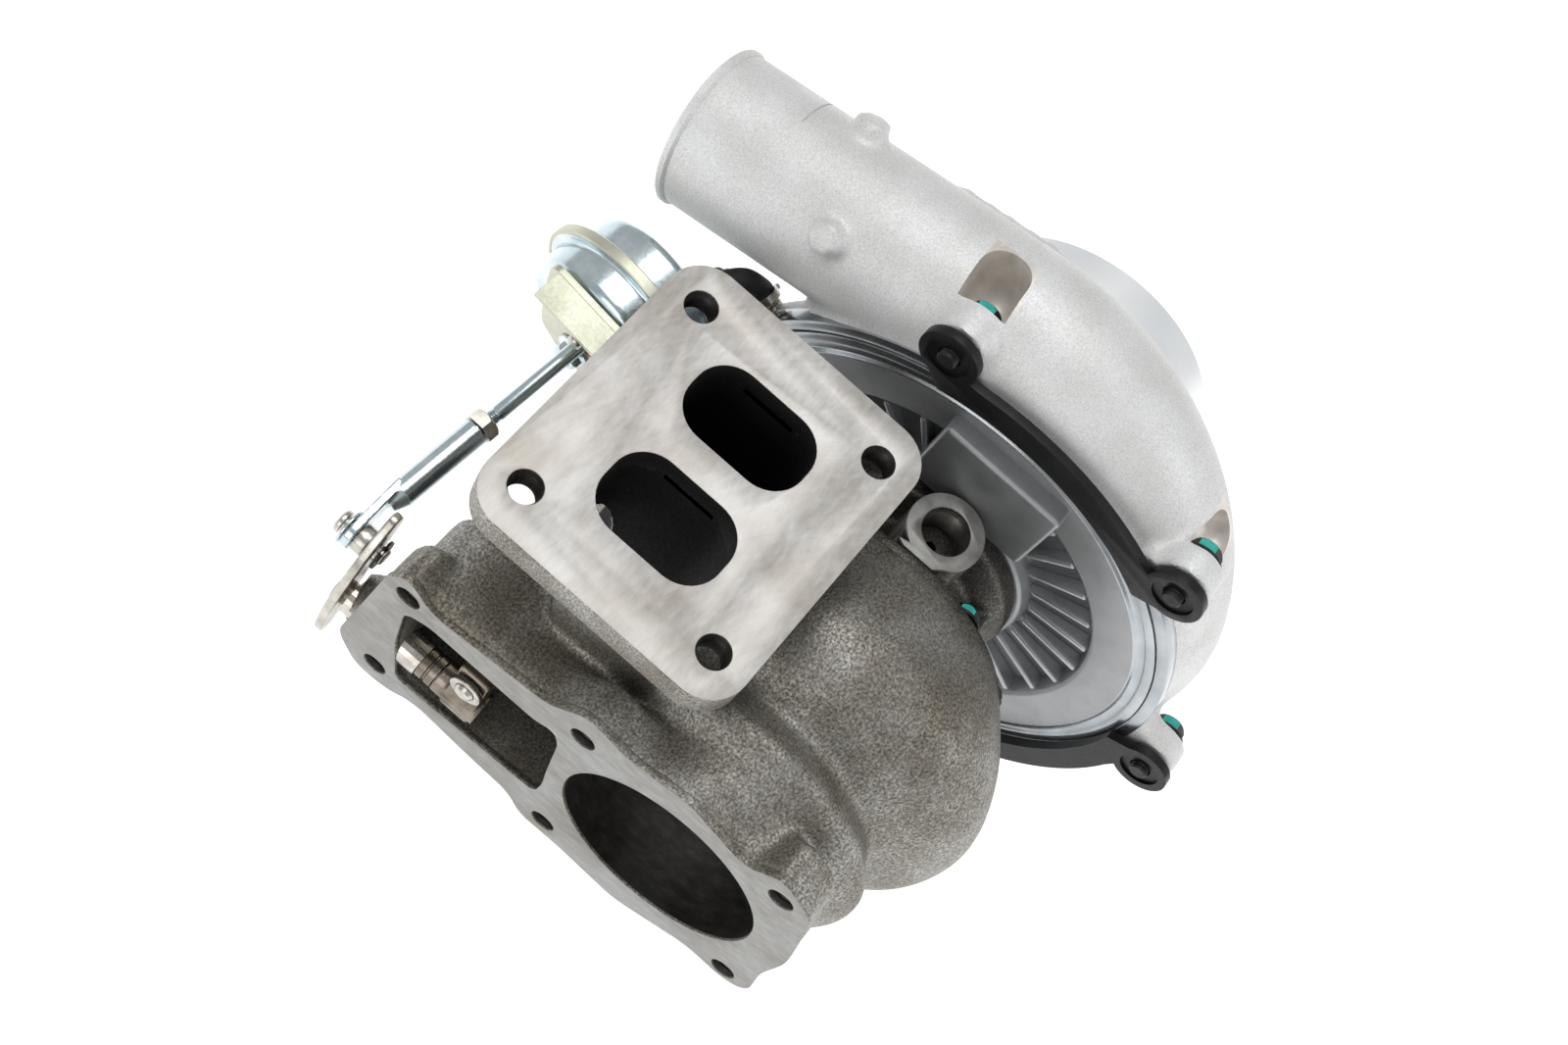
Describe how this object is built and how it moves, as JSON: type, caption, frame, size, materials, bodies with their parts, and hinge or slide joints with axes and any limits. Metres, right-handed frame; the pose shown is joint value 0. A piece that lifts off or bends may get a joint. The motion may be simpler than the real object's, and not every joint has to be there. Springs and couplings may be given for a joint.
{
  "type": "turbocharger",
  "caption": "Wastegated turbocharger: twin-entry cast iron turbine, oil-fed bearing core, aluminium compressor and a side-mounted pneumatic actuator with rod and lever.",
  "frame": {"origin": "centre of the turbine inlet flange's face, on the web between its ports", "axes": "+Z out of the turbine inlet flange, +X along the rotor from turbine to compressor, +Y from the rotor towards the wastegate side"},
  "size_m": [0.2872, 0.3096, 0.2522],
  "materials": {
    "cast_iron": "sand-cast grey iron, machined on the flanges",
    "cast_aluminium": "bead-blasted casting, turned at the inlet",
    "turned_aluminium": "lathe turned",
    "black_steel": "black oxide",
    "bright_steel": "machined and lightly tarnished",
    "valve_steel": "heat-tinted stainless",
    "zinc_plate": "blue zinc plate",
    "yellow_zinc": "pale yellow zinc plate",
    "bronze": "turned bearing bronze",
    "nickel_alloy": "investment cast, dull",
    "rubber": "moulded, matt",
    "spring_steel": "oil-tempered"
  },
  "bodies": {
    "housing": {"actuator_bracket": "yellow_zinc", "actuator_front_shell": "zinc_plate", "actuator_nipple": "bright_steel", "actuator_rear_shell": "zinc_plate", "bearing_housing": "cast_iron", "boost_hose": "rubber", "bracket_nut_1": "bright_steel", "bracket_nut_2": "bright_steel", "bracket_stud_1": "bright_steel", "bracket_stud_2": "bright_steel", "clamp_bolt_1": "black_steel", "clamp_bolt_2": "black_steel", "clamp_bolt_3": "black_steel", "clamp_bolt_4": "black_steel", "clamp_bolt_5": "black_steel", "clamp_bolt_6": "black_steel", "clamp_plate_1": "black_steel", "clamp_plate_2": "black_steel", "clamp_plate_3": "black_steel", "compressor_backplate": "turned_aluminium", "compressor_cover": "cast_aluminium", "compressor_piston_ring": "spring_steel", "cover_nipple": "bright_steel", "cover_o_ring": "rubber", "diaphragm": "rubber", "heat_shield": "nickel_alloy", "hose_clamp_1": "bright_steel", "hose_clamp_2": "bright_steel", "oil_seal_plate": "turned_aluminium", "return_spring": "spring_steel", "thrust_bearing": "bronze", "turbine_bolt_1": "black_steel", "turbine_bolt_2": "black_steel", "turbine_bolt_3": "black_steel", "turbine_bolt_4": "black_steel", "turbine_bolt_5": "black_steel", "turbine_clamp_1": "cast_iron", "turbine_clamp_2": "cast_iron", "turbine_housing": "cast_iron", "turbine_piston_ring": "spring_steel", "wastegate_bush": "bright_steel"},
    "rotor": {"shaft_and_turbine_wheel": "nickel_alloy", "compressor_wheel": "turned_aluminium", "compressor_nut": "bright_steel", "thrust_collar": "bright_steel", "oil_flinger": "bright_steel"},
    "floating_bushes": {"turbine_journal_bush": "bronze", "compressor_journal_bush": "bronze"},
    "wastegate": {"wastegate_shaft": "valve_steel", "wastegate_valve_plate": "valve_steel", "valve_washer": "bright_steel", "wastegate_lever": "bright_steel", "lever_pin": "bright_steel", "pin_clip": "black_steel", "pin_spacer": "bright_steel", "pin_washer": "bright_steel"},
    "actuator_rod": {"rod_end": "zinc_plate", "lock_nut": "bright_steel", "actuator_rod": "zinc_plate", "piston_cup": "zinc_plate"}
  },
  "joints": [
    {"name": "rotor_spin", "type": "hinge", "parent": "housing", "child": "rotor", "pos_m": [0, -0.072, -0.1], "axis": [-1, 0, 0], "continuous": true},
    {"name": "bush_spin", "type": "hinge", "parent": "housing", "child": "floating_bushes", "pos_m": [0.05, -0.072, -0.1], "axis": [-1, 0, 0], "continuous": true},
    {"name": "wastegate_swing", "type": "hinge", "parent": "housing", "child": "wastegate", "pos_m": [-0.065, 0.0714, -0.123], "axis": [0, -1, 0], "range_deg": [0, 20], "stiffness_Nm_per_rad": 3, "springref_deg": -20.05},
    {"name": "rod_pivot", "type": "hinge", "parent": "wastegate", "child": "actuator_rod", "pos_m": [-0.0545, 0.082, -0.1015], "axis": [0, -1, 0], "range_deg": [-24, 0], "deforming": ["return_spring", "diaphragm"]}
  ],
  "couplings": [
    {"joint": "bush_spin", "follows": "rotor_spin", "ratio": 0.25},
    {"joint": "rod_pivot", "follows": "wastegate_swing", "ratio": -1.082}
  ]
}
